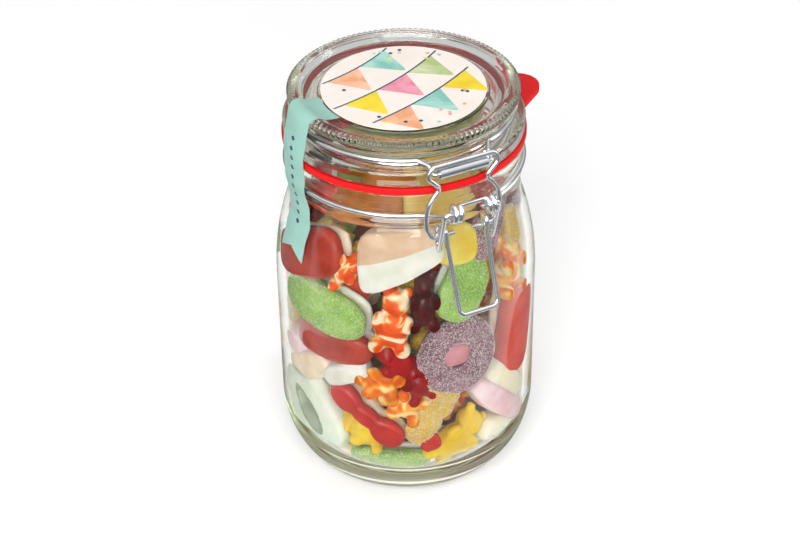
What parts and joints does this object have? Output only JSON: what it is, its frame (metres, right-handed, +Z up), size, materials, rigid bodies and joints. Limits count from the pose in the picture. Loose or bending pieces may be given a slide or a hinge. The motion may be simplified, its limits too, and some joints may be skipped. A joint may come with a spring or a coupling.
{
  "type": "clip-top jar of gummy sweets",
  "caption": "Round clip-top glass preserving jar with wire bail latch, rubber gasket and paper seal strip, filled with mixed gummy sweets.",
  "frame": {"origin": "centre of the flat bearing face under the jar, on the surface it stands on", "axes": "+Z up along the axis of the glass; -Y towards the wire latch, +Y towards the wire hinge, +X towards the gasket's pull tab"},
  "size_m": [0.1207, 0.1276, 0.1803],
  "materials": {
    "clear_glass": "clear, faintly green",
    "red_rubber": "satin",
    "zinc_steel": "bright zinc-plated wire",
    "label_paper": "satin printed paper",
    "mint_paper": "satin printed paper",
    "fruit_gum": "glossy, foamed and sugared sweets"
  },
  "bodies": {
    "jar": {"glass_jar": "clear_glass", "glass_lid": "clear_glass", "gasket": "red_rubber", "neck_ring": "zinc_steel", "lid_wire": "zinc_steel", "roller": "zinc_steel", "round_label": "label_paper", "paper_strip": "mint_paper", "candy_heap": "fruit_gum"},
    "lever_body": {"lever": "zinc_steel"},
    "link_body": {"link": "zinc_steel"}
  },
  "joints": [
    {"name": "lever_hinge", "type": "hinge", "parent": "jar", "child": "lever_body", "pos_m": [0, -0.0592, 0.1535], "axis": [-1, 0, 0], "range_deg": [0, 90]},
    {"name": "link_hinge", "type": "hinge", "parent": "lever_body", "child": "link_body", "pos_m": [0, -0.0514, 0.1392], "axis": [-1, 0, 0], "range_deg": [-135, 0]}
  ],
  "couplings": [
    {"joint": "link_hinge", "follows": "lever_hinge", "ratio": -1.5}
  ]
}
